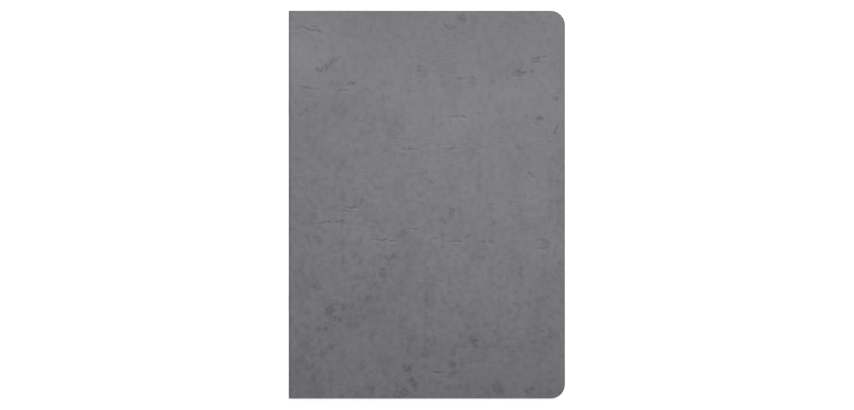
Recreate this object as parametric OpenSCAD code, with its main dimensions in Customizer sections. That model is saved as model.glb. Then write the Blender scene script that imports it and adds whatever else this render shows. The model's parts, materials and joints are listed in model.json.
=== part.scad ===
// Stapled exercise book: folded sheets nested in one another inside a folded card
// cover, held by two wire staples through the fold. The book lies closed on its back
// cover, with its spine at -X, its head at +Y and its front cover up. Millimetres.
// Each sheet and the cover are one piece of paper or card in three stretches: a front
// leaf or panel, a rear one, and the strip round the fold, which bends as it opens.

/* [Pages] */
// Height of the book, head to tail
page_h = 297; // [200:1:420]
// Width of a page, from the middle of the fold to the fore-edge
page_w = 209; // [120:0.5:300]
// Radius of the two corners at the fore-edge
corner_r = 11; // [2:0.5:25]
// Number of folded sheets, each of which makes two leaves
sheet_count = 16; // [4:1:18]
// Thickness of one leaf
leaf_t = 0.1; // [0.06:0.01:0.16]
// Air between neighbouring leaves, and between the outer leaves and the cover
leaf_gap = 0.02; // [0.01:0.005:0.04]

/* [Cover] */
// Thickness of the cover card
cover_t = 0.4; // [0.35:0.05:0.8]
// Reach of the bending strip, from the middle of the fold to the flat panels and leaves
gutter_w = 4; // [3.5:0.25:8]
// Width of the parting line between the bending strip and the flat paper beside it
parting_w = 0.02; // [0.01:0.01:0.05]
// Radius of the tool that pressed the score lines on which the cover folds back
score_r = 0.2; // [0.16:0.01:0.3]
// Depth of the score lines
score_depth = 0.06; // [0.02:0.01:0.1]

/* [Staples] */
// Diameter of the staple wire
wire_d = 0.5; // [0.35:0.05:0.6]
// Width of a staple over its two legs
staple_w = 12.5; // [11:0.5:16]
// Distance from the head or tail edge to the middle of the nearer staple
staple_inset = 73.5; // [20:0.5:90]
// Depth to which a staple's crown is pressed into the card
crown_press = 0.3; // [0.1:0.05:0.3]
// Radius of the bend between crown and leg, to the middle of the wire
crown_bend_r = 0.45; // [0.4:0.05:0.7]
// Reach of each leg's end, bent over inside the middle sheet
clinch_l = 4.5; // [2:0.25:5]
// Room round the wire inside the middle fold
clinch_clear = 0.05; // [0.03:0.01:0.2]
// Room round the wire in the holes that it pierces
pierce_clear = 0.03; // [0.02:0.01:0.05]

/* [Hidden] */
$fn = 96;
cover_colour = [0.475, 0.470, 0.490];
paper_colour = [0.955, 0.950, 0.930];
wire_colour = [0.72, 0.73, 0.75];

// Fold: every bend is centred on one axis along Y, which the clinched wire lies on
wire_r = wire_d / 2;
middle_fold_r = wire_r + clinch_clear;
leaf_pitch = leaf_t + leaf_gap;
cover_fold_r = middle_fold_r + sheet_count * leaf_pitch;
spine_r = cover_fold_r + cover_t;

// Front half: it leans until the two middle leaves meet at the fore-edge
lean = asin((2 * middle_fold_r - leaf_gap) / page_w);

// Staples: the crown lies outside the spine, and the legs run in towards the fold axis
crown_x = -(spine_r + wire_r - crown_press);
leg_y = staple_w / 2 - wire_r;
clinch_bend_r = middle_fold_r;
staple_y = page_h / 2 - staple_inset;

// Whole book: its middle, seen from above, and how high the fold axis is over its back
book_left = crown_x - wire_r;
book_right = page_w * cos(lean) + spine_r * sin(lean);
book_mid_x = (book_left + book_right) / 2;
fold_z = spine_r;

// A cut runs past the faces that it opens by this much
past = 1;

// Sheet 1 is the outermost, next to the cover, and the last is the middle one
function sheet_fold_r(n) = middle_fold_r + (sheet_count - n) * leaf_pitch;
function sheet_name(n, piece) = str("sheet_", n < 10 ? "0" : "", n, "_", piece);

SHEETS = [1 : sheet_count];

// Moves a piece from the fold axis to its place in the book
module at_fold() {
    translate([-book_mid_x, 0, fold_z]) children();
}

// Leans a piece of the front half about the fold axis
module leaning() {
    rotate([0, lean, 0]) children();
}

// Outline of a flat leaf or cover panel, round at the two fore-edge corners
module page_outline() {
    translate([gutter_w, -page_h / 2]) square([page_w - corner_r - gutter_w, page_h]);
    translate([page_w - 2 * corner_r, corner_r - page_h / 2]) square([2 * corner_r, page_h - 2 * corner_r]);
    for (side = [-1, 1]) translate([page_w - corner_r, side * (page_h / 2 - corner_r)]) circle(corner_r);
}

// Flat leaf or panel of thickness t, with its inner face at height r over the fold axis
module flat_page(r, t) {
    translate([0, 0, r]) linear_extrude(t) page_outline();
}

// Section of a filled bend: half a disc of radius r with a straight stretch out to reach
module bend_section(r, reach) {
    circle(r);
    translate([0, -r]) square([reach, 2 * r]);
}

// Strip of thickness t that goes round the fold at inner radius r, pierced by the staples
module bend_strip(r, t) {
    difference() {
        rotate([90, 0, 0]) linear_extrude(page_h, center = true) difference() {
            bend_section(r + t, gutter_w - parting_w);
            bend_section(r, gutter_w + past);
        }
        for (side = [-1, 1]) translate([0, side * staple_y, 0]) staple_outside(wire_r + pierce_clear, 0);
    }
}

// Score line along a cover panel, where it meets the spine strip
module score_line() {
    translate([gutter_w, 0, spine_r - score_depth + score_r]) rotate([90, 0, 0])
        cylinder(r = score_r, h = page_h + 2 * past, center = true);
}

// Quarter bend of wire of radius r in the XY plane, from the +X side to the +Y side
module wire_bend(bend_r, r) {
    rotate_extrude(angle = 90) translate([bend_r, 0]) circle(r);
}

// Straight wire of radius r and a length, along +X
module wire_along_x(r, length) {
    rotate([0, 90, 0]) cylinder(r = r, h = length);
}

// Straight wire of radius r and a length, along -Y
module wire_along_y(r, length) {
    rotate([90, 0, 0]) cylinder(r = r, h = length);
}

// Crown and legs of a staple, of wire of radius r, with the legs running in to leg_x
module staple_outside(r, leg_x) {
    bend_x = crown_x + crown_bend_r;
    bend_y = leg_y - crown_bend_r;
    for (side = [0, 1]) mirror([0, side, 0]) {
        translate([crown_x, bend_y, 0]) wire_along_y(r, bend_y);
        translate([bend_x, bend_y, 0]) rotate([0, 0, 90]) wire_bend(crown_bend_r, r);
        translate([bend_x, leg_y, 0]) wire_along_x(r, leg_x - bend_x);
    }
}

// Ends of a staple's legs, bent over towards each other on the fold axis
module staple_clinch() {
    bend_y = leg_y - clinch_bend_r;
    for (side = [0, 1]) mirror([0, side, 0]) {
        translate([-clinch_bend_r, bend_y, 0]) wire_bend(clinch_bend_r, wire_r);
        translate([0, bend_y, 0]) wire_along_y(wire_r, clinch_l - clinch_bend_r);
    }
}

module staple(y) {
    color(wire_colour) at_fold() translate([0, y, 0]) {
        staple_outside(wire_r, -clinch_bend_r);
        staple_clinch();
    }
}

module head_staple() {
    staple(staple_y);
}

module tail_staple() {
    staple(-staple_y);
}

module front_cover() {
    color(cover_colour) at_fold() leaning() difference() {
        flat_page(cover_fold_r, cover_t);
        score_line();
    }
}

module back_cover() {
    color(cover_colour) at_fold() mirror([0, 0, 1]) difference() {
        flat_page(cover_fold_r, cover_t);
        score_line();
    }
}

module cover_spine() {
    color(cover_colour) at_fold() difference() {
        bend_strip(cover_fold_r, cover_t);
        for (side = [0, 1]) mirror([0, 0, side]) score_line();
    }
}

module front_leaf(n) {
    color(paper_colour) at_fold() leaning() flat_page(sheet_fold_r(n), leaf_t);
}

module rear_leaf(n) {
    color(paper_colour) at_fold() mirror([0, 0, 1]) flat_page(sheet_fold_r(n), leaf_t);
}

module sheet_fold(n) {
    color(paper_colour) at_fold() bend_strip(sheet_fold_r(n), leaf_t);
}

front_cover();
cover_spine();
back_cover();
head_staple();
tail_staple();
for (n = SHEETS) {
    front_leaf(n);
    sheet_fold(n);
    rear_leaf(n);
}
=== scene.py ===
"""Stapled exercise book: its cover, pages and staples, dressed over the frame of the CAD model.

Laid out as a Blender add-on and run as a script. Sizes are in metres, in the CAD model's frame:
the spine is at -X, the head at +Y, and the front cover faces +Z. Patterns are worked out in
millimetres on the flat card or paper.
"""

import json
import math

import bmesh
import bpy
from bpy.props import FloatProperty, FloatVectorProperty, PointerProperty
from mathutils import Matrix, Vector


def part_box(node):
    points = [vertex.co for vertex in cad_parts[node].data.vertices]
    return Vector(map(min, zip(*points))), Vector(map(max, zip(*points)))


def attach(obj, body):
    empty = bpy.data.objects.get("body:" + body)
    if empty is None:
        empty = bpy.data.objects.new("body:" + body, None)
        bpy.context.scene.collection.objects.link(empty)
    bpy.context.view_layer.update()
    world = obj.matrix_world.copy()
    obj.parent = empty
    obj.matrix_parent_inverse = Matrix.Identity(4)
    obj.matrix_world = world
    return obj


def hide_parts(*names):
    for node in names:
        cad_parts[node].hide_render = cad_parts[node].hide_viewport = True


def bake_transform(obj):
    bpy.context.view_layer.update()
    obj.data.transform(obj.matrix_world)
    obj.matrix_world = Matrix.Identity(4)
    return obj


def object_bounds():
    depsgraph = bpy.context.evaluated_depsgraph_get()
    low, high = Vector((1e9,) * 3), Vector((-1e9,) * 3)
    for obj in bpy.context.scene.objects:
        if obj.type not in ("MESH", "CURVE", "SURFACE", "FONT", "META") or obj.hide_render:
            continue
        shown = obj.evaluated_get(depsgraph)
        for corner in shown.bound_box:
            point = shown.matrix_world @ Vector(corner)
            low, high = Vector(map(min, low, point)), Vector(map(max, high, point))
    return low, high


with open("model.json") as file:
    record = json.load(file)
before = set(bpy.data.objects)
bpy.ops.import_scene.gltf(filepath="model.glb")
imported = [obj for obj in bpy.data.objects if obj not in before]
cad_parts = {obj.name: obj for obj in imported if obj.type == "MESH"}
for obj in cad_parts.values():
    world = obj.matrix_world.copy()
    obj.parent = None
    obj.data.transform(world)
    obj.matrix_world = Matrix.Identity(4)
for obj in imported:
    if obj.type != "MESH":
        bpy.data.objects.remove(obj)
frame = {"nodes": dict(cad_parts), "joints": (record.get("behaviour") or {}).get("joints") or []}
cad_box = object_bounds()

bl_info = {
    "name": "Exercise Book",
    "version": (1, 0, 0),
    "blender": (4, 5, 0),
    "location": "View3D > Sidebar > Exercise Book",
    "description": "Makes the cover, folds, pages and staples of a stapled exercise book",
    "category": "Object",
}

FLAT_MAP = "FlatSheet"  # UV map of a piece laid out flat
FLAT_SPAN = 0.45  # metres of flat sheet that the map's full width stands for
MM = 1000.0
# How far a fold strip goes on bending beyond its round part, in radii: the least at which no
# stretch of it turns over as the book opens flat
BEND_PAST_FOLD = math.pi / 4
# Reach of the painted shade along the pressed fold, to each side, in millimetres of flat paper
FOLD_SHADE_REACH = 0.9

SAME_PLACE = 1e-6  # two places along an axis that are closer than this are the same
MERGE_REACH = 1e-7  # points that are closer than this become one
CORNER_STEPS = 24  # of a round corner at the fore-edge
RIM_STEPS = 2  # of a rounded cut edge
RIM_ANGLE = math.radians(60)  # an edge that turns by more is the rim of a cut edge
SCORE_CUTS = 8  # on each side of a score line
SCORE_CUT_REACH = 1.2  # how far those cuts go, in reaches of the score
SPINE_STEPS = 32  # round the spine
SHEET_STEPS = 16  # round the fold of a sheet
FOLD_CUTS = 4  # on each side of the round part of a fold
SMOOTH_ANGLE = math.radians(35)  # an edge that turns by less is shaded smooth
GRAIN_OUTWARD = 0.3  # a face of the card that looks outward by more has the grain

LINE_BLUR = 0.4  # soft edge of a printed line, in halves of its width
EDGE_INK = 0.2  # share of the printed ink that shows on a leaf's cut edges
ROUGHNESS_SPREAD = 0.08  # by which the fibres change the roughness of the grained card
NO_MARK = 9.0  # square of a distance that no mark reaches, in halves of its size
WHITE = (1.0, 1.0, 1.0, 1.0)

# Marks of the grain that show most on the front cover, placed in millimetres on the
# flat card: across from the middle of the spine, and up from the middle of the book
PALE_PATCH = (14.0, 118.0, 0.0)
PALE_REACH = 60.0
CREASE_HIGHLIGHT_DROP = 1.5  # from a crease down to the painted highlight under it, where light from the head would catch its lower wall
# Each mark: across, up, half its length, half its width, its slope in degrees, and its faintness
CREASES = (
    (10.0, 135.6, 4.5, 1.4, 22.0, 0.3),
    (20.0, 133.8, 11.0, 1.3, -16.0, 0.0),
    (21.0, 137.0, 4.0, 0.9, -8.0, 0.0),
    (49.0, 92.3, 5.5, 1.8, 12.0, 0.0),
    (16.0, 89.6, 10.0, 1.3, -6.0, 0.2),
    (41.0, 87.6, 11.0, 1.1, 3.0, 0.3),
    (16.0, 83.0, 9.0, 0.9, 0.0, 0.7),
    (96.0, 87.0, 7.0, 1.0, 0.0, 0.4),
    (182.0, 101.5, 12.0, 1.9, 2.0, 0.0),
    (177.0, 99.2, 7.0, 1.5, 0.0, 0.0),
    (193.0, 112.0, 8.0, 1.3, 7.0, 0.0),
    (190.0, 109.6, 6.0, 1.1, 0.0, 0.0),
    (133.5, 97.0, 5.0, 1.5, -6.0, 0.0),
    (131.0, 67.5, 9.0, 1.3, -3.0, 0.0),
    (206.0, 57.0, 7.0, 1.2, 52.0, 0.0),
    (13.5, 71.0, 7.0, 1.2, 41.0, 0.2),
    (125.0, 47.3, 8.0, 0.9, 22.0, 0.5),
    (126.5, 43.5, 5.0, 1.2, 0.0, 0.0),
    (94.0, 42.8, 8.0, 1.4, 3.0, 0.0),
    (27.0, 41.0, 8.0, 0.9, 40.0, 0.8),
    (10.0, 25.3, 4.5, 0.9, -14.0, 0.5),
    (10.0, 20.8, 4.5, 0.9, 0.0, 0.5),
    (109.0, 18.2, 4.0, 1.2, -18.0, 0.0),
    (187.0, 23.5, 5.0, 1.7, -55.0, 0.0),
    (49.0, -1.8, 9.0, 1.3, -4.0, 0.1),
    (57.0, 2.0, 4.0, 1.7, 70.0, 0.0),
    (47.0, -4.7, 5.0, 1.3, -4.0, 0.0),
    (40.0, -12.8, 5.0, 1.6, 4.0, 0.0),
    (30.0, -13.4, 8.0, 1.4, 4.0, 0.0),
    (75.5, -27.0, 14.0, 0.9, -3.0, 0.0),
    (98.5, -18.0, 9.0, 0.9, 2.0, 0.2),
    (111.0, -25.4, 5.5, 1.4, -6.0, 0.0),
    (138.0, -23.8, 6.0, 1.1, 15.0, 0.2),
    (130.0, -28.0, 8.0, 0.9, 0.0, 0.0),
    (154.0, -28.4, 5.5, 1.3, 3.0, 0.0),
    (194.5, -26.9, 4.5, 1.2, -3.0, 0.0),
    (195.5, -33.0, 4.0, 1.7, 2.0, 0.0),
    (36.0, -87.2, 5.0, 2.2, 0.0, 0.0),
    (30.0, -95.0, 7.0, 2.1, 65.0, 0.0),
    (195.0, -97.0, 5.0, 0.9, -15.0, 0.3),
    (115.0, -128.3, 7.0, 1.0, 6.0, 0.0),
)
SMUDGES = (
    (133.0, 142.8, 4.2, 3.2, 0.0, 0.0),
    (124.0, 136.6, 6.0, 2.2, -8.0, 0.4),
    (64.0, 134.0, 3.2, 3.2, 0.0, 0.9),
    (33.0, 107.5, 10.0, 2.6, 43.0, 0.4),
    (26.5, 103.0, 2.8, 3.2, 0.0, 0.0),
    (102.0, 104.5, 2.6, 2.6, 0.0, 0.2),
    (13.0, 88.5, 2.8, 3.2, 0.0, 0.8),
    (64.0, 87.0, 3.8, 2.6, -40.0, 0.9),
    (142.5, 96.5, 3.2, 3.6, 0.0, 0.5),
    (158.0, 94.5, 3.2, 4.8, 0.0, 0.9),
    (206.5, 80.6, 3.2, 2.8, 0.0, 0.7),
    (193.7, 65.6, 3.2, 3.2, 0.0, 0.0),
    (76.0, 41.5, 2.8, 3.2, 0.0, 0.6),
    (127.0, -4.0, 3.2, 3.0, 0.0, 0.4),
    (119.0, -12.0, 3.2, 3.6, -30.0, 0.5),
    (158.0, -13.8, 5.4, 2.8, 28.0, 0.8),
    (89.5, -21.0, 5.4, 2.8, 60.0, 0.6),
    (199.0, -30.0, 2.8, 3.4, 0.0, 0.4),
    (15.0, -36.0, 6.5, 3.0, -55.0, 1.0),
    (80.0, -40.5, 6.5, 3.2, 45.0, 0.3),
    (74.0, -52.0, 4.2, 3.2, 60.0, 0.1),
    (22.5, -62.0, 4.6, 3.6, 0.0, 0.5),
    (32.5, -81.0, 5.4, 3.2, 42.0, 0.0),
    (39.3, -88.6, 3.4, 3.2, -40.0, 0.0),
    (53.0, -92.0, 3.8, 2.6, -50.0, 0.7),
    (34.5, -108.5, 3.8, 3.2, 0.0, 0.2),
    (58.0, -123.0, 4.8, 4.2, 0.0, 0.4),
    (93.0, -126.0, 4.2, 4.0, 0.0, 0.0),
    (97.0, -136.0, 5.4, 3.0, -60.0, 0.0),
    (107.0, -104.0, 4.2, 4.2, 0.0, 0.5),
    (143.5, -105.0, 5.4, 3.0, -55.0, 0.0),
    (127.0, -122.0, 3.2, 3.2, 0.0, 0.0),
    (162.0, -141.0, 6.4, 3.8, -60.0, 0.0),
    (187.0, -141.5, 4.8, 3.2, 0.0, 0.3),
    (90.0, -144.5, 4.6, 4.0, 0.0, 0.0),
)

JOINT_AT = {joint["name"]: Vector(joint["pos_m"]) for joint in frame["joints"]}
FOLD = JOINT_AT["sheet_01_opening"]
SCORE = JOINT_AT["front_cover_turn"]
SHEETS = sorted(name.removesuffix("_fold") for name in frame["nodes"] if name.endswith("_fold"))
BACK_LOW, BACK_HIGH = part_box("back_cover")
FRONT_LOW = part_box("front_cover")[0]
LEAF_LOW, LEAF_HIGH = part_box("sheet_01_rear_leaf")

PAGE_HEIGHT = BACK_HIGH.y - BACK_LOW.y
PAGE_REACH = BACK_HIGH.x - FOLD.x
STRIP_REACH = BACK_LOW.x - FOLD.x
CARD_THICKNESS = BACK_HIGH.z - BACK_LOW.z
LEAF_THICKNESS = LEAF_HIGH.z - LEAF_LOW.z
SPINE_RADIUS = FOLD.z - BACK_LOW.z
FRONT_LEAN = math.asin((FOLD.z + SPINE_RADIUS - CARD_THICKNESS - FRONT_LOW.z) / PAGE_REACH)


def length(label, about, default):
    """A length that a user can change."""
    return FloatProperty(name=label, description=about, default=default, unit="LENGTH", precision=5)


def colour(label, about, default):
    """A colour that a user can change, in linear values."""
    return FloatVectorProperty(
        name=label, description=about, default=default, subtype="COLOR", size=3, min=0, max=1
    )


def amount(label, about, default):
    """A plain number that a user can change."""
    return FloatProperty(name=label, description=about, default=default)


class CoverSettings(bpy.types.PropertyGroup):
    """Sizes and finish of the folded card cover."""

    height: length("Height", "Head to tail", PAGE_HEIGHT)
    reach: length("Reach", "From the fold's axis to the fore-edge", PAGE_REACH)
    corner_radius: length("Corner radius", "Round corners at the fore-edge", 0.011)
    thickness: length("Thickness", "Thickness of the card", CARD_THICKNESS)
    spine_radius: length("Spine radius", "Outside of the card round the fold", SPINE_RADIUS)
    spine_reach: length("Spine reach", "From the fold's axis to where the panels start", 0.0025)
    parting: length("Parting", "Clear line between the spine and the back panel", 0.00002)
    score_depth: length("Score depth", "Depth of the line on which a panel folds back", 0.00006)
    score_reach: length("Score reach", "Half the width of card that bends at the score", 0.0006)
    rim_round: length("Rim round", "Rounding of the cut edges", 0.00006)
    lean: FloatProperty(
        name="Lean", description="Slope of the front half, down to the fore-edge", default=FRONT_LEAN,
        subtype="ANGLE",
    )
    card: colour("Card", "Grey of the outside", (0.2055, 0.2025, 0.2208))
    inside: colour("Inside", "Plain inner face and cut edges", (0.262, 0.259, 0.274))
    # Darkest grey: stain in the blotches, and in the creases darker pigment together with painted shade of
    # their hollows
    stain_and_shade: colour("Stain", "Darkest grey of blotches and creases", (0.080, 0.079, 0.096))
    blotch_strength: amount("Blotches", "How far the soft blotches go towards the stain", 0.55)
    crease_strength: amount("Creases", "How far the fine creases go towards the stain", 0.50)
    roughness: amount("Roughness", "Roughness of the grained face", 0.62)
    grain_depth: length("Grain depth", "Depth of the embossed grain", 0.00010)
    fibre_depth: length("Fibre depth", "Depth of the fibres of the plain card", 0.00002)


class PageSettings(bpy.types.PropertyGroup):
    """Sizes and finish of the writing paper."""

    thickness: length("Thickness", "Thickness of a leaf", LEAF_THICKNESS)
    fold_reach: length("Fold reach", "From the fold's axis to where the flat leaves start", STRIP_REACH)
    paper: colour("Paper", "Uncoated off-white paper", (0.800, 0.790, 0.745))
    rule: colour("Rules", "Printed writing lines", (0.330, 0.440, 0.560))
    margin: colour("Margin", "Printed margin line", (0.620, 0.270, 0.270))
    ink: amount("Ink", "Strength of the printed lines", 0.75)
    # Painted shade along the pressed fold: how much darker the paper is there
    fold_shade_amount: amount("Fold line", "How much darker the paper is along its pressed fold", 0.32)
    rule_pitch: length("Rule pitch", "From one writing line to the next", 0.008)
    rule_width: length("Rule width", "Width of a printed line", 0.00025)
    head_rule: length("First line", "Height of the first writing line over the middle", 0.120)
    tail_rule: length("Last line", "Depth of the last writing line under the middle", 0.136)
    margin_in: length("Margin in", "From the left edge of a page to its margin line", 0.025)
    fibre_depth: length("Fibre depth", "Depth of the fibres of the paper", 0.00001)


class StapleSettings(bpy.types.PropertyGroup):
    """Finish of the staple wire."""

    wire: colour("Wire", "Galvanised steel", (0.620, 0.630, 0.650))
    dull: colour("Dull wire", "Zinc that has gone dull", (0.430, 0.440, 0.460))
    drawn_depth: length("Drawn depth", "Depth of the lines along the drawn wire", 0.00001)


class StageSettings(bpy.types.PropertyGroup):
    """Floor, light and camera."""

    floor_drop: length("Floor drop", "Floor under the back cover, clear of a cover folded back", 0.0013)
    floor_size: length("Floor size", "Width of the floor", 12.0)
    floor: colour("Floor", "Matte floor", (0.60, 0.60, 0.60))
    floor_glow: amount("Floor glow", "White that the camera sees besides the lit floor", 0.74)
    sky_light: amount("Sky light", "Even light from all sides", 0.385)
    lamp_power: FloatProperty(name="Lamp power", description="Soft lamp", default=1.36, unit="POWER")
    lamp_size: length("Lamp size", "Width of the lamp", 0.35)
    lamp_at: FloatVectorProperty(
        name="Lamp place", description="Middle of the lamp", default=(0.056, 0.106, 0.42), subtype="XYZ",
        unit="LENGTH", size=3,
    )
    lens: amount("Lens", "Focal length in millimetres", 85.0)
    sensor: amount("Sensor", "Width of the camera's sensor in millimetres", 36.0)
    camera_height: length("Camera height", "Camera over the front cover", 1.5434)
    camera_x: length("Camera X", "Camera's place from spine to fore-edge", 0.00026)
    camera_y: length("Camera Y", "Camera's place from tail to head", -0.00025)


# Modelling


def start_sheet(name, width, height, middle):
    """Adds a flat sheet at its size and place, and leaves it selected alone."""
    bpy.ops.object.select_all(action="DESELECT")
    bpy.ops.mesh.primitive_plane_add(size=1, location=middle)
    piece = bpy.context.active_object
    piece.name = piece.data.name = name
    piece.scale = (width, height, 1)
    bpy.ops.object.transform_apply(location=True, rotation=True, scale=True)
    return piece


def pick(piece, kind, test):
    """Selects the vertices, edges or faces that pass a test, in edit mode."""
    bpy.ops.mesh.select_mode(type=kind)
    bpy.ops.mesh.select_all(action="DESELECT")
    shell = bmesh.from_edit_mesh(piece.data)
    shell.normal_update()
    for part in {"VERT": shell.verts, "EDGE": shell.edges, "FACE": shell.faces}[kind]:
        if test(part):
            part.select_set(True)
    bmesh.update_edit_mesh(piece.data)


def near(a, b):
    """True if two places along an axis are the same."""
    return abs(a - b) < SAME_PLACE


def lies_at(edge, axis, place):
    """True if both ends of an edge are at a place along an axis."""
    return all(near(vertex.co[axis], place) for vertex in edge.verts)


def apply_modifiers(piece):
    """Applies every modifier of the active piece."""
    for modifier in list(piece.modifiers):
        bpy.ops.object.modifier_apply(modifier=modifier.name)


def thicken(piece, thickness):
    """Gives a sheet its thickness, on the side away from its normals."""
    wall = piece.modifiers.new("Thickness", "SOLIDIFY")
    wall.thickness = thickness
    wall.offset = -1
    wall.use_even_offset = True
    apply_modifiers(piece)


def across_sheet(place, radius):
    """How far a point is from the middle of the spine, along the sheet laid flat."""
    x, z = place.x - FOLD.x, place.z - FOLD.z
    if x < 0:
        return radius * math.atan2(z, -x)
    return math.copysign(radius * math.pi / 2 + x, z)


def lay_flat(piece, radius):
    """Maps the piece as the flat sheet it was folded from."""
    while piece.data.uv_layers:
        piece.data.uv_layers.remove(piece.data.uv_layers[0])
    flat = piece.data.uv_layers.new(name=FLAT_MAP)
    for loop in piece.data.loops:
        place = piece.data.vertices[loop.vertex_index].co
        u, v = across_sheet(place, radius), place.y
        flat.data[loop.index].uv = (u / FLAT_SPAN + 0.5, v / FLAT_SPAN + 0.5)


def outward(face):
    """How much a face looks away from the fold's axis: 1 outside, -1 inside, 0 at a cut edge."""
    x, z = face.center.x - FOLD.x, face.center.z - FOLD.z
    away = Vector((min(x, 0.0), 0.0, z)).normalized()
    return face.normal.dot(away)


def finish_card(piece, cover):
    """Puts the grain on the outside, and the plain card on the inside and the cut edges."""
    lay_flat(piece, cover.spine_radius)
    piece.data.materials.append(grained_card(cover))
    piece.data.materials.append(plain_card(cover))
    for face in piece.data.polygons:
        face.material_index = 0 if outward(face) > GRAIN_OUTWARD else 1
    bpy.ops.object.shade_smooth_by_angle(angle=SMOOTH_ANGLE)


def is_rim(edge):
    """True for an edge between a face of the card and its cut edge."""
    return len(edge.link_faces) == 2 and edge.calc_face_angle() > RIM_ANGLE


def cover_panel(name, cover, side):
    """A flat panel of the cover, with its outer face at +Z for side 1 and at -Z for side -1."""
    inner = cover.spine_reach + (cover.parting if side < 0 else 0.0)
    width = cover.reach - inner
    outside = side * cover.spine_radius
    piece = start_sheet(name, width, cover.height, (inner + width / 2, 0, outside))
    bpy.ops.object.mode_set(mode="EDIT")
    pick(piece, "VERT", lambda v: near(v.co.x, cover.reach))
    bpy.ops.mesh.bevel(offset=cover.corner_radius, segments=CORNER_STEPS, profile=0.5, affect="VERTICES")
    if side < 0:
        bpy.ops.mesh.select_all(action="SELECT")
        bpy.ops.mesh.flip_normals()
    score = SCORE.x - FOLD.x
    for cut in range(-SCORE_CUTS, SCORE_CUTS + 1):
        bpy.ops.mesh.select_all(action="SELECT")
        beside = score + SCORE_CUT_REACH * cover.score_reach * cut / SCORE_CUTS
        bpy.ops.mesh.bisect(plane_co=(beside, 0, 0), plane_no=(1, 0, 0))
    bpy.ops.object.mode_set(mode="OBJECT")
    thicken(piece, cover.thickness)
    bpy.ops.object.mode_set(mode="EDIT")
    pick(piece, "VERT", lambda v: near(v.co.x, score) and near(v.co.z, outside))
    bpy.ops.transform.translate(value=(0, 0, -side * cover.score_depth))
    pick(piece, "EDGE", lambda e: is_rim(e) and not lies_at(e, 0, inner))
    bpy.ops.mesh.bevel(offset=cover.rim_round, segments=RIM_STEPS, profile=0.5, affect="EDGES")
    bpy.ops.object.mode_set(mode="OBJECT")
    piece.location = FOLD
    piece.rotation_euler.y = cover.lean if side > 0 else 0.0
    bpy.ops.object.transform_apply(location=True, rotation=True, scale=True)
    finish_card(piece, cover)
    return piece


def folded_strip(name, radius, thickness, height, reach, steps):
    """A strip that goes round the fold, with its outer face at a radius from the axis."""
    piece = start_sheet(name, reach, height, (FOLD.x + reach / 2, 0, FOLD.z - radius))
    bpy.ops.object.mode_set(mode="EDIT")
    pick(piece, "EDGE", lambda e: lies_at(e, 0, FOLD.x))
    bpy.ops.mesh.spin(steps=steps, angle=math.pi, center=FOLD, axis=(0, -1, 0))
    pick(piece, "EDGE", lambda e: lies_at(e, 0, FOLD.x) and lies_at(e, 2, FOLD.z + radius))
    bpy.ops.mesh.extrude_region_move(TRANSFORM_OT_translate={"value": (reach, 0, 0)})
    bpy.ops.mesh.select_all(action="SELECT")
    bpy.ops.mesh.remove_doubles(threshold=MERGE_REACH)
    bpy.ops.mesh.normals_make_consistent(inside=False)
    for cut in range(1, FOLD_CUTS + 1):
        bpy.ops.mesh.select_all(action="SELECT")
        beside = FOLD.x + BEND_PAST_FOLD * radius * cut / FOLD_CUTS
        bpy.ops.mesh.bisect(plane_co=(beside, 0, 0), plane_no=(1, 0, 0))
    bpy.ops.object.mode_set(mode="OBJECT")
    if sum(outward(face) for face in piece.data.polygons) < 0:
        bpy.ops.object.mode_set(mode="EDIT")
        bpy.ops.mesh.flip_normals()
        bpy.ops.object.mode_set(mode="OBJECT")
    thicken(piece, thickness)
    return piece


def bend_about_fold(piece, radius):
    """Lays a strip's points flat by their length round the fold, bakes the piece's transform, and puts the
    points back.
    """
    folded = [vertex.co.copy() for vertex in piece.data.vertices]
    for vertex, place in zip(piece.data.vertices, folded):
        vertex.co = (across_sheet(place, radius), place.y, 0)
    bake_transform(piece)
    for vertex, place in zip(piece.data.vertices, folded):
        vertex.co = place
    piece.data.update()


# Materials


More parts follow.
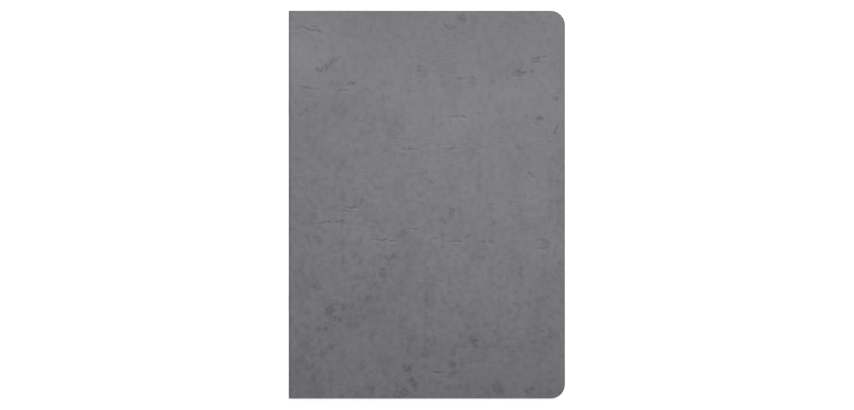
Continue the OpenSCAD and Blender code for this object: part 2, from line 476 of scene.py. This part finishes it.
class Graph:
    """Short ways to add and join the nodes of one material or node group."""

    def __init__(self, tree):
        self.tree = tree

    def node(self, kind, inputs=None, **settings):
        """Adds a node, and sets or links its inputs by name or number."""
        node = self.tree.nodes.new(kind)
        for key, value in settings.items():
            setattr(node, key, value)
        for key, value in (inputs or {}).items():
            if isinstance(value, bpy.types.NodeSocket):
                self.tree.links.new(value, node.inputs[key])
            else:
                node.inputs[key].default_value = value
        return node

    def maths(self, operation, *values):
        """A sum, product or the like of numbers."""
        node = self.node("ShaderNodeMath", dict(enumerate(values)), operation=operation)
        return node.outputs[0]

    def vector(self, operation, a, b):
        """A sum, product or the like of two places."""
        node = self.node("ShaderNodeVectorMath", {0: a, 1: b}, operation=operation)
        return node.outputs["Value" if operation in ("DOT_PRODUCT", "DISTANCE") else "Vector"]

    def noise(self, place, scale, detail=2.0, roughness=0.5):
        """Noise on the flat sheet, with a scale per millimetre."""
        inputs = {"Vector": place, "Scale": scale, "Detail": detail, "Roughness": roughness}
        return self.node("ShaderNodeTexNoise", inputs, noise_dimensions="2D").outputs

    def stretch(self, place, across, up):
        """A place on the flat sheet, scaled across and up."""
        return self.vector("MULTIPLY", place, (across, up, 0.0))

    def patches(self, place, scale, low, high, detail=2.0):
        """Noise cut into soft patches: 0 where it is under low, and 1 where it is over high."""
        return self.step(self.noise(place, scale, detail)["Fac"], low, high)

    def sway(self, place, scale, reach, detail=2.0, roughness=0.5):
        """A wandering shift to all sides, by up to half a reach across and up."""
        shift = self.noise(place, scale, detail, roughness)["Color"]
        return self.stretch(self.vector("SUBTRACT", shift, (0.5, 0.5, 0.5)), *reach)

    def step(self, value, low, high):
        """Rises smoothly from 0 to 1 as a value goes from low to high."""
        inputs = {"Value": value, "From Min": low, "From Max": high}
        node = self.node("ShaderNodeMapRange", inputs, interpolation_type="SMOOTHSTEP")
        return node.outputs["Result"]

    def fit(self, value, low, high):
        """A value between 0 and 1 put between low and high."""
        inputs = {"Value": value, "To Min": low, "To Max": high}
        return self.node("ShaderNodeMapRange", inputs).outputs["Result"]

    def mix(self, factor, a, b, blend="MIX"):
        """Two colours mixed by a factor. The node's colour sockets go by number."""
        node = self.node("ShaderNodeMix", data_type="RGBA", blend_type=blend)
        for socket, value in zip((node.inputs[0], node.inputs[6], node.inputs[7]), (factor, a, b)):
            if isinstance(value, bpy.types.NodeSocket):
                self.tree.links.new(value, socket)
            else:
                socket.default_value = value
        return node.outputs[2]

    def group(self, tree, **inputs):
        """Outputs of a node group placed with its inputs."""
        return self.node("ShaderNodeGroup", {k.replace("_", " "): v for k, v in inputs.items()},
                         node_tree=tree).outputs


def new_group(name, inputs, outputs):
    """An empty node group with its sockets, as a Graph with its input and output nodes."""
    tree = bpy.data.node_groups.new(name, "ShaderNodeTree")
    for label, kind in inputs.items():
        tree.interface.new_socket(label, in_out="INPUT", socket_type=kind)
    for label in outputs:
        tree.interface.new_socket(label, in_out="OUTPUT", socket_type="NodeSocketFloat")
    graph = Graph(tree)
    graph.taken = tree.nodes.new("NodeGroupInput").outputs
    graph.given = tree.nodes.new("NodeGroupOutput").inputs
    return graph


def new_material(name):
    """An empty material, as a Graph with its shader."""
    material = bpy.data.materials.new(name)
    material.use_nodes = True
    graph = Graph(material.node_tree)
    graph.material = material
    graph.shader = material.node_tree.nodes["Principled BSDF"]
    return graph


def rgba(value):
    """A colour setting as a socket takes it."""
    return (*value, 1.0)


def flat_place(graph):
    """Place on the flat sheet in millimetres, from the piece's own map."""
    uv = graph.node("ShaderNodeUVMap", uv_map=FLAT_MAP).outputs["UV"]
    centred = graph.vector("SUBTRACT", uv, (0.5, 0.5, 0.0))
    return graph.vector("MULTIPLY", centred, (FLAT_SPAN * MM, FLAT_SPAN * MM, 0.0))


def fibre_group():
    """Fine fibres of paper and card: a value round 0.5 and a height."""
    made = bpy.data.node_groups.get("paper fibres")
    if made:
        return made
    g = new_group("paper fibres", {"Place": "NodeSocketVector"}, ("Fibre", "Height"))
    place = g.taken["Place"]
    along = g.noise(g.stretch(place, 0.9, 0.12), 1.0, 3.0, 0.6)["Fac"]
    cross = g.noise(g.stretch(place, 0.25, 1.1), 1.0, 3.0, 0.6)["Fac"]
    fine = g.noise(place, 2.2, 2.0, 0.6)["Fac"]
    fibre = g.maths("ADD", g.maths("MULTIPLY", along, 0.6), g.maths("MULTIPLY", cross, 0.4))
    g.tree.links.new(fibre, g.given["Fibre"])
    g.tree.links.new(g.maths("ADD", fibre, g.maths("MULTIPLY", fine, 0.5)), g.given["Height"])
    return g.tree


def crease_layer(g, place, cell, patch_scale, patch_from, width):
    """Broken lines along the borders of cells stretched across, kept only in some patches."""
    cells = g.vector("DIVIDE", place, (*cell, 1.0))
    border = g.node(
        "ShaderNodeTexVoronoi", {"Vector": cells, "Scale": 1.0, "Randomness": 1.0},
        voronoi_dimensions="2D", feature="DISTANCE_TO_EDGE",
    ).outputs["Distance"]
    line = g.maths("SUBTRACT", 1.0, g.step(border, 0.1 * width, width))
    patch = g.patches(g.stretch(place, *patch_scale), 1.0, patch_from, patch_from + 0.09, 1.0)
    broken = g.patches(place, 0.20, 0.40, 0.64)
    return g.maths("MULTIPLY", g.maths("MULTIPLY", line, patch), broken)


def blotch_layer(g, place, cell, share, radius):
    """Soft round blotches, in a share of the cells of a scattered grid."""
    cells = g.node(
        "ShaderNodeTexVoronoi", {"Vector": g.vector("DIVIDE", place, (*cell, 1.0)), "Scale": 1.0},
        voronoi_dimensions="2D", feature="F1",
    ).outputs
    chance = g.node("ShaderNodeSeparateColor", {"Color": cells["Color"]}).outputs["Red"]
    kept = g.step(chance, 1.0 - share, 1.0 - 0.4 * share)
    return g.maths("MULTIPLY", g.maths("SUBTRACT", 1.0, g.step(cells["Distance"], 0.05, radius)), kept)


def scattered_blotches(g, place, ragged, chain, to_tail, to_spine):
    """Soft blotches in upright chains, darker towards the tail and the spine."""
    large = blotch_layer(g, ragged, (7.5, 8.0), 0.50, 0.58)
    small = blotch_layer(g, ragged, (4.2, 4.6), 0.60, 0.60)
    blotch = g.maths("MAXIMUM", large, g.maths("MULTIPLY", small, 0.75))
    dots = g.patches(place, 0.46, 0.36, 0.62)
    for share, least, most in (
        (chain, 0.30, 1.0), (dots, 0.30, 1.0), (to_tail, 0.35, 1.0), (to_spine, 0.48, 0.70),
    ):
        blotch = g.maths("MULTIPLY", blotch, g.fit(share, least, most))
    return blotch


def scattered_creases(g, bent, across):
    """Long and short broken creases, fainter on the front, where others are listed."""
    long_crease = crease_layer(g, bent, (38.0, 6.0), (0.026, 0.06), 0.66, 0.10)
    short_crease = crease_layer(g, bent, (13.0, 2.4), (0.030, 0.070), 0.62, 0.24)
    crease = g.maths("MAXIMUM", long_crease, g.maths("MULTIPLY", short_crease, 0.7))
    on_front = g.step(across, -2.0, 2.0)
    return g.maths("MULTIPLY", crease, g.fit(on_front, 1.0, 0.45))


def spotted_mottling(g, mottle, chain, to_tail, to_spine):
    """Mottling round 0.5 with dark spots in upright chains, deeper towards the tail and the spine."""
    depth = g.maths("MULTIPLY", g.fit(to_tail, 0.74, 1.22), g.fit(to_spine, 0.94, 1.06))
    spots = g.maths("MULTIPLY", g.step(mottle, 0.48, 0.18), g.fit(chain, 0.25, 1.0))
    uneven = g.maths("MULTIPLY_ADD", spots, -0.26, g.fit(mottle, -0.25, 0.31))
    return g.maths("MULTIPLY_ADD", uneven, depth, 0.5)


def patchy_streaks(g, place):
    """Fine streaks across the card, round 0.5, which show in some patches."""
    streak = g.noise(g.stretch(place, 0.13, 0.70), 1.0, 1.0)["Fac"]
    streaky = g.patches(g.stretch(place, 0.020, 0.032), 1.0, 0.46, 0.64)
    streak = g.maths("MULTIPLY", g.maths("SUBTRACT", streak, 0.5), g.fit(streaky, 0.15, 1.0))
    return g.maths("ADD", streak, 0.5)


def broad_clouds(g, place, to_tail):
    """Broad light and dark clouds, with darker patches towards the tail."""
    cloud = g.noise(place, 0.019, 3.0)["Fac"]
    patch = g.patches(g.stretch(place, 0.060, 0.042), 1.0, 0.46, 0.74)
    patch = g.maths("MULTIPLY", patch, g.fit(to_tail, 0.55, 1.0))
    return g.maths("MULTIPLY_ADD", patch, -0.50, cloud)


def grain_group():
    """Grain of leather-look card: its mottling, streaks, blotches, creases, clouds, pebbling and height."""
    made = bpy.data.node_groups.get("leather grain")
    if made:
        return made
    labels = ("Mottle", "Streak", "Blotch", "Crease", "Cloud", "Pebble", "Height")
    g = new_group("leather grain", {"Place": "NodeSocketVector"}, labels)
    place = g.taken["Place"]
    far = g.node("ShaderNodeSeparateXYZ", {"Vector": place}).outputs
    to_tail = g.step(far["Y"], PAGE_HEIGHT * MM / 2, -PAGE_HEIGHT * MM / 2)
    to_spine = g.step(g.maths("ABSOLUTE", far["X"]), PAGE_REACH * MM, 0.0)
    bent = g.vector("ADD", place, g.sway(place, 0.05, (8.0, 9.0)))
    ragged = g.vector("ADD", bent, g.sway(place, 0.35, (5.0, 5.0)))
    chain = g.patches(g.stretch(place, 1.0, 0.45), 0.05, 0.36, 0.64)
    mottle = g.noise(g.stretch(place, 1.05, 0.9), 0.21)["Fac"]
    mottling = spotted_mottling(g, mottle, chain, to_tail, to_spine)
    streak = patchy_streaks(g, place)
    blotch = scattered_blotches(g, place, ragged, chain, to_tail, to_spine)
    crease = scattered_creases(g, bent, far["X"])
    cloud = broad_clouds(g, place, to_tail)
    pebble = g.noise(bent, 0.9, 3.0, 0.55)["Fac"]
    bumps = g.maths("ADD", g.maths("MULTIPLY", pebble, 0.55), g.maths("MULTIPLY", mottle, 0.8))
    height = g.maths("SUBTRACT", bumps, crease)
    for label, value in zip(labels, (mottling, streak, blotch, crease, cloud, pebble, height)):
        g.tree.links.new(value, g.given[label])
    return g.tree


def nearest_mark(g, place, marks):
    """Square of how far the nearest of some long round marks is, plus its faintness."""
    found = NO_MARK
    for across, up, half_length, half_width, slope, faintness in marks:
        turn = math.radians(slope)
        along = (math.cos(turn) / half_length, math.sin(turn) / half_length, 0.0)
        aside = (-math.sin(turn) / half_width, math.cos(turn) / half_width, 0.0)
        off = g.vector("SUBTRACT", place, (across, up, 0.0))
        x = g.vector("DOT_PRODUCT", off, along)
        y = g.vector("DOT_PRODUCT", off, aside)
        aside_square = g.maths("MULTIPLY_ADD", y, y, faintness)
        found = g.maths("MINIMUM", found, g.maths("MULTIPLY_ADD", x, x, aside_square))
    return found


def marked_creases(g, place):
    """Masks of the listed creases, wavering and broken, and of the painted highlight under each."""
    waved = g.vector("ADD", place, g.sway(place, 0.16, (3.0, 4.0), 3.0, 0.6))
    broken = g.patches(place, 0.3, 0.30, 0.54)
    line = g.step(nearest_mark(g, waved, CREASES), 1.2, 0.0)
    under = g.vector("ADD", waved, (0.0, CREASE_HIGHLIGHT_DROP, 0.0))
    crease_highlight = g.step(nearest_mark(g, under, CREASES), 1.6, 0.0)
    return g.maths("MULTIPLY", line, broken), g.maths("MULTIPLY", crease_highlight, broken)


def marked_smudges(g, place):
    """Mask of the listed soft dark smudges, with ragged edges."""
    ragged = g.vector("ADD", place, g.sway(place, 0.20, (7.0, 7.0)))
    smudge = g.step(nearest_mark(g, ragged, SMUDGES), 1.8, 0.0)
    dots = g.patches(place, 0.40, 0.30, 0.66)
    return g.maths("MULTIPLY", smudge, g.fit(dots, 0.25, 1.0))


def add_bump(g, height, depth):
    """Lets a height, in units of a depth in metres, tilt the shader's normal."""
    bump = g.node("ShaderNodeBump", {"Height": height, "Strength": 1.0, "Distance": depth})
    g.tree.links.new(bump.outputs["Normal"], g.shader.inputs["Normal"])


def set_shader(g, base, roughness, **values):
    """Links colour and roughness, and sets plain values on the shader's own sockets."""
    g.tree.links.new(base, g.shader.inputs["Base Color"])
    g.tree.links.new(roughness, g.shader.inputs["Roughness"])
    for key, value in values.items():
        g.shader.inputs[key.replace("_", " ")].default_value = value


def grained_card(cover):
    """Outside of the cover: matte grey card embossed like worn leather, with painted shade in its creases
    and a painted highlight under them.
    """
    made = bpy.data.materials.get("grained card")
    if made:
        return made
    g = new_material("grained card")
    place = flat_place(g)
    grain = g.group(grain_group(), Place=place)
    fibre = g.group(fibre_group(), Place=place)
    pale = g.step(g.vector("DISTANCE", place, PALE_PATCH), PALE_REACH, 0.0)
    line, crease_highlight = marked_creases(g, place)
    shade = g.fit(grain["Cloud"], 0.915, 1.085)
    for share, darkest, palest in (
        (pale, 1.0, 1.19),
        (grain["Mottle"], 0.805, 1.195),
        (grain["Pebble"], 0.92, 1.08),
        (fibre["Fibre"], 0.97, 1.03),
        (grain["Streak"], 0.88, 1.12),
        # painted highlight: paler card under each listed crease, where light would catch its lower wall
        (crease_highlight, 1.0, 1.10),
    ):
        shade = g.maths("MULTIPLY", shade, g.fit(share, darkest, palest))
    base = g.mix(1.0, rgba(cover.card), shade, "MULTIPLY")
    # Creases: darker pigment together with painted shade of their hollows
    crease = g.maths("MAXIMUM", g.maths("MULTIPLY", grain["Crease"], 0.6), line)
    blotch = g.maths("MAXIMUM", grain["Blotch"], marked_smudges(g, place))
    dark = g.maths(
        "MAXIMUM", g.maths("MULTIPLY", blotch, cover.blotch_strength),
        g.maths("MULTIPLY", crease, cover.crease_strength),
    )
    base = g.mix(dark, base, rgba(cover.stain_and_shade))
    smoothest, roughest = cover.roughness - ROUGHNESS_SPREAD, cover.roughness + ROUGHNESS_SPREAD
    roughness = g.fit(fibre["Fibre"], smoothest, roughest)
    set_shader(g, base, roughness, Specular_IOR_Level=0.08)
    add_bump(g, grain["Height"], cover.grain_depth)
    return g.material


def plain_card(cover):
    """Inside and cut edges of the cover: uncoated grey card."""
    made = bpy.data.materials.get("plain card")
    if made:
        return made
    g = new_material("plain card")
    fibre = g.group(fibre_group(), Place=flat_place(g))
    base = g.mix(1.0, rgba(cover.inside), g.fit(fibre["Fibre"], 0.90, 1.10), "MULTIPLY")
    set_shader(g, base, g.fit(fibre["Fibre"], 0.75, 0.95), Specular_IOR_Level=0.25)
    add_bump(g, fibre["Height"], cover.fibre_depth)
    return g.material


def printed_line(g, off, width):
    """Mask of a printed line with soft edges, from how far a place is from its middle."""
    half = width / 2
    return g.maths("SUBTRACT", 1.0, g.step(off, (1 - LINE_BLUR) * half, (1 + LINE_BLUR) * half))


def rule_group(pages):
    """Writing lines across the page, as a mask."""
    made = bpy.data.node_groups.get("writing lines")
    if made:
        return made
    g = new_group("writing lines", {"Place": "NodeSocketVector"}, ("Rule",))
    y = g.node("ShaderNodeSeparateXYZ", {"Vector": g.taken["Place"]}).outputs["Y"]
    down = g.maths("SUBTRACT", pages.head_rule * MM, y)
    off = g.maths("PINGPONG", down, pages.rule_pitch * MM / 2)
    width = pages.rule_width * MM
    line = printed_line(g, off, width)
    from_head = g.maths("GREATER_THAN", down, -width / 2)
    to_tail = g.maths("LESS_THAN", down, (pages.head_rule + pages.tail_rule) * MM + width / 2)
    rule = g.maths("MULTIPLY", line, g.maths("MULTIPLY", from_head, to_tail))
    g.tree.links.new(rule, g.given["Rule"])
    return g.tree


def paint_paper(g, pages, place, ink):
    """Colour of paper ruled with a strength of ink, and its fibres, with the shader set up for them."""
    fibre = g.group(fibre_group(), Place=place)
    rule = g.group(rule_group(pages), Place=place)["Rule"]
    paper = g.mix(1.0, rgba(pages.paper), g.fit(fibre["Fibre"], 0.97, 1.03), "MULTIPLY")
    ruled = g.mix(g.maths("MULTIPLY", rule, ink), paper, rgba(pages.rule))
    set_shader(g, ruled, g.fit(fibre["Fibre"], 0.82, 0.98), Specular_IOR_Level=0.2)
    add_bump(g, fibre["Height"], pages.fibre_depth)
    return ruled


def folded_paper(pages):
    """Paper round the fold, ruled on its own flat map, with painted shade along the line where it is
    pressed.
    """
    made = bpy.data.materials.get("folded paper")
    if made:
        return made
    g = new_material("folded paper")
    place = flat_place(g)
    ruled = paint_paper(g, pages, place, pages.ink)
    x = g.node("ShaderNodeSeparateXYZ", {"Vector": place}).outputs["X"]
    # painted shade: the paper darkens along the middle of the fold, standing in for the shade in its crease
    pressed = g.step(g.maths("ABSOLUTE", x), FOLD_SHADE_REACH, 0.0)
    fold_shaded_paper = g.mix(1.0, ruled, g.fit(pressed, 1.0, 1.0 - pages.fold_shade_amount), "MULTIPLY")
    g.tree.links.new(fold_shaded_paper, g.shader.inputs["Base Color"])
    return g.material


def leaf_paper(pages):
    """Paper of the flat leaves, ruled, with the margin at the left of each page."""
    made = bpy.data.materials.get("leaf paper")
    if made:
        return made
    g = new_material("leaf paper")
    coords = g.node("ShaderNodeTexCoord").outputs
    from_fold = g.vector("SUBTRACT", coords["Object"], (FOLD.x, 0.0, 0.0))
    place = g.vector("MULTIPLY", from_fold, (MM, MM, 0.0))
    up = g.node("ShaderNodeSeparateXYZ", {"Vector": coords["Normal"]}).outputs["Z"]
    on_face = g.step(g.maths("ABSOLUTE", up), 0.3, 0.7)
    ink = g.fit(on_face, EDGE_INK * pages.ink, pages.ink)
    ruled = paint_paper(g, pages, place, ink)
    x = g.node("ShaderNodeSeparateXYZ", {"Vector": place}).outputs["X"]
    right_hand = g.maths("GREATER_THAN", up, 0.0)
    at_fold, at_edge = pages.margin_in * MM, (PAGE_REACH - pages.margin_in) * MM
    off = g.maths("ABSOLUTE", g.maths("SUBTRACT", x, g.fit(right_hand, at_edge, at_fold)))
    margin = printed_line(g, off, pages.rule_width * MM)
    marked = g.mix(g.maths("MULTIPLY", margin, ink), ruled, rgba(pages.margin))
    g.tree.links.new(marked, g.shader.inputs["Base Color"])
    return g.material


def staple_wire(staples):
    """Galvanised steel wire, drawn along its length and dulled in places."""
    made = bpy.data.materials.get("staple wire")
    if made:
        return made
    g = new_material("staple wire")
    place = g.vector("MULTIPLY", g.node("ShaderNodeTexCoord").outputs["Object"], (MM, MM, MM))
    dull = g.node("ShaderNodeTexNoise", {"Vector": place, "Scale": 1.4, "Detail": 3.0}).outputs["Fac"]
    drawn = g.node(
        "ShaderNodeTexNoise",
        {"Vector": g.vector("MULTIPLY", place, (9.0, 0.5, 9.0)), "Scale": 1.0, "Detail": 2.0},
    ).outputs["Fac"]
    base = g.mix(g.step(dull, 0.42, 0.66), rgba(staples.wire), rgba(staples.dull))
    set_shader(g, base, g.fit(g.maths("ADD", dull, drawn), 0.18, 0.36), Metallic=1.0)
    add_bump(g, drawn, staples.drawn_depth)
    return g.material


# Operators


class FrontCoverOperator(bpy.types.Operator):
    """Makes the front panel of the cover, which folds back at its score"""

    bl_idname = "exercise_book.front_cover"
    bl_label = "Front Cover"
    bl_options = {"REGISTER", "UNDO"}

    def execute(self, context):
        cover = context.scene.book_cover
        piece = cover_panel("front_panel", cover, 1)
        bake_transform(piece)
        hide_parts("front_cover")
        return {"FINISHED"}


class SpineOperator(bpy.types.Operator):
    """Makes the strip of the cover that goes round the spine"""

    bl_idname = "exercise_book.spine"
    bl_label = "Spine"
    bl_options = {"REGISTER", "UNDO"}

    def execute(self, context):
        cover = context.scene.book_cover
        piece = folded_strip(
            "spine_strip", cover.spine_radius, cover.thickness, cover.height, cover.spine_reach,
            SPINE_STEPS,
        )
        finish_card(piece, cover)
        bend_about_fold(piece, cover.spine_radius)
        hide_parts("cover_spine")
        return {"FINISHED"}


class BackCoverOperator(bpy.types.Operator):
    """Makes the back panel of the cover, which the book lies on"""

    bl_idname = "exercise_book.back_cover"
    bl_label = "Back Cover"
    bl_options = {"REGISTER", "UNDO"}

    def execute(self, context):
        piece = cover_panel("back_panel", context.scene.book_cover, -1)
        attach(piece, "back_cover")
        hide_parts("back_cover")
        return {"FINISHED"}


class FoldsOperator(bpy.types.Operator):
    """Makes the strip of each sheet that goes round the fold"""

    bl_idname = "exercise_book.folds"
    bl_label = "Sheet Folds"
    bl_options = {"REGISTER", "UNDO"}

    def execute(self, context):
        pages = context.scene.book_pages
        for sheet in SHEETS:
            radius = FOLD.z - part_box(f"{sheet}_rear_leaf")[0].z
            piece = folded_strip(
                f"{sheet}_gutter", radius, pages.thickness, PAGE_HEIGHT, pages.fold_reach, SHEET_STEPS
            )
            lay_flat(piece, radius)
            piece.data.materials.append(folded_paper(pages))
            bpy.ops.object.shade_smooth_by_angle(angle=SMOOTH_ANGLE)
            bend_about_fold(piece, radius)
            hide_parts(f"{sheet}_fold")
        return {"FINISHED"}


class LeavesOperator(bpy.types.Operator):
    """Gives the flat leaves of the CAD model their ruled paper"""

    bl_idname = "exercise_book.leaves"
    bl_label = "Leaves"
    bl_options = {"REGISTER", "UNDO"}

    def execute(self, context):
        paper = leaf_paper(context.scene.book_pages)
        for sheet in SHEETS:
            for half in ("front", "rear"):
                frame["nodes"][f"{sheet}_{half}_leaf"].material_slots[0].material = paper
        return {"FINISHED"}


class StaplesOperator(bpy.types.Operator):
    """Gives the staples of the CAD model their galvanised wire"""

    bl_idname = "exercise_book.staples"
    bl_label = "Staples"
    bl_options = {"REGISTER", "UNDO"}

    def execute(self, context):
        wire = staple_wire(context.scene.book_staples)
        for end in ("head", "tail"):
            frame["nodes"][f"{end}_staple"].material_slots[0].material = wire
        return {"FINISHED"}


class StageOperator(bpy.types.Operator):
    """Makes the white floor, the soft light and the camera over the front cover"""

    bl_idname = "exercise_book.stage"
    bl_label = "Stage"
    bl_options = {"REGISTER", "UNDO"}

    def execute(self, context):
        stage = context.scene.book_stage
        floor = start_sheet("floor", stage.floor_size, stage.floor_size, (0, 0, -stage.floor_drop))
        floor.data.materials.append(white_floor(stage))
        light_world(context.scene, stage)
        lamp = bpy.data.lights.new("soft_lamp", "AREA")
        lamp.energy = stage.lamp_power
        lamp.size = stage.lamp_size
        lamp_object = bpy.data.objects.new("soft_lamp", lamp)
        lamp_object.location = stage.lamp_at
        lamp_object.visible_camera = False
        context.scene.collection.objects.link(lamp_object)
        lens = bpy.data.cameras.new("camera")
        lens.lens = stage.lens
        lens.sensor_width = stage.sensor
        camera = bpy.data.objects.new("camera", lens)
        camera.location = (stage.camera_x, stage.camera_y, cad_box[1].z + stage.camera_height)
        context.scene.collection.objects.link(camera)
        context.scene.camera = camera
        context.scene.view_settings.view_transform = "Standard"
        return {"FINISHED"}


def seen_ray(g):
    """1 for rays that show the stage to the camera, also in metal, and 0 for rays that light."""
    ray = g.node("ShaderNodeLightPath").outputs
    mirrored = g.maths("MAXIMUM", ray["Is Glossy Ray"], ray["Is Transmission Ray"])
    return g.maths("MAXIMUM", ray["Is Camera Ray"], mirrored)


def white_floor(stage):
    """Matte floor that looks white to the camera and keeps a soft shadow."""
    g = new_material("white floor")
    g.shader.inputs["Base Color"].default_value = rgba(stage.floor)
    g.shader.inputs["Roughness"].default_value = 1.0
    g.shader.inputs["Specular IOR Level"].default_value = 0.0
    g.shader.inputs["Emission Color"].default_value = WHITE
    glow = g.maths("MULTIPLY", seen_ray(g), stage.floor_glow)
    g.tree.links.new(glow, g.shader.inputs["Emission Strength"])
    return g.material


def light_world(scene, stage):
    """Even white light from all sides, at full white where the camera sees it."""
    world = bpy.data.worlds.new("white world")
    world.use_nodes = True
    scene.world = world
    g = Graph(world.node_tree)
    sky = world.node_tree.nodes["Background"]
    sky.inputs["Color"].default_value = WHITE
    g.tree.links.new(g.fit(seen_ray(g), stage.sky_light, 1.0), sky.inputs["Strength"])


class ExerciseBookPanel(bpy.types.Panel):
    """Lists the pieces of the book in the sidebar"""

    bl_idname = "VIEW3D_PT_exercise_book"
    bl_label = "Exercise Book"
    bl_space_type = "VIEW_3D"
    bl_region_type = "UI"
    bl_category = "Exercise Book"

    def draw(self, context):
        for operator in OPERATORS:
            self.layout.operator(operator.bl_idname)
        for settings in SETTINGS:
            group = getattr(context.scene, settings)
            for name in group.bl_rna.properties.keys():
                if name not in ("rna_type", "name"):
                    self.layout.prop(group, name)


SETTINGS = {
    "book_cover": CoverSettings,
    "book_pages": PageSettings,
    "book_staples": StapleSettings,
    "book_stage": StageSettings,
}
OPERATORS = (
    FrontCoverOperator,
    SpineOperator,
    BackCoverOperator,
    FoldsOperator,
    LeavesOperator,
    StaplesOperator,
    StageOperator,
)
CLASSES = (*SETTINGS.values(), *OPERATORS, ExerciseBookPanel)


def register():
    """Makes the settings, operators and panel known to Blender."""
    for cls in CLASSES:
        bpy.utils.register_class(cls)
    for name, settings in SETTINGS.items():
        setattr(bpy.types.Scene, name, PointerProperty(type=settings))


def unregister():
    """Takes them out again."""
    for name in SETTINGS:
        delattr(bpy.types.Scene, name)
    for cls in reversed(CLASSES):
        bpy.utils.unregister_class(cls)


def main():
    """Makes every piece and the stage."""
    register()
    bpy.ops.exercise_book.front_cover()
    bpy.ops.exercise_book.spine()
    bpy.ops.exercise_book.back_cover()
    bpy.ops.exercise_book.folds()
    bpy.ops.exercise_book.leaves()
    bpy.ops.exercise_book.staples()
    bpy.ops.exercise_book.stage()


if __name__ == "__main__":
    main()
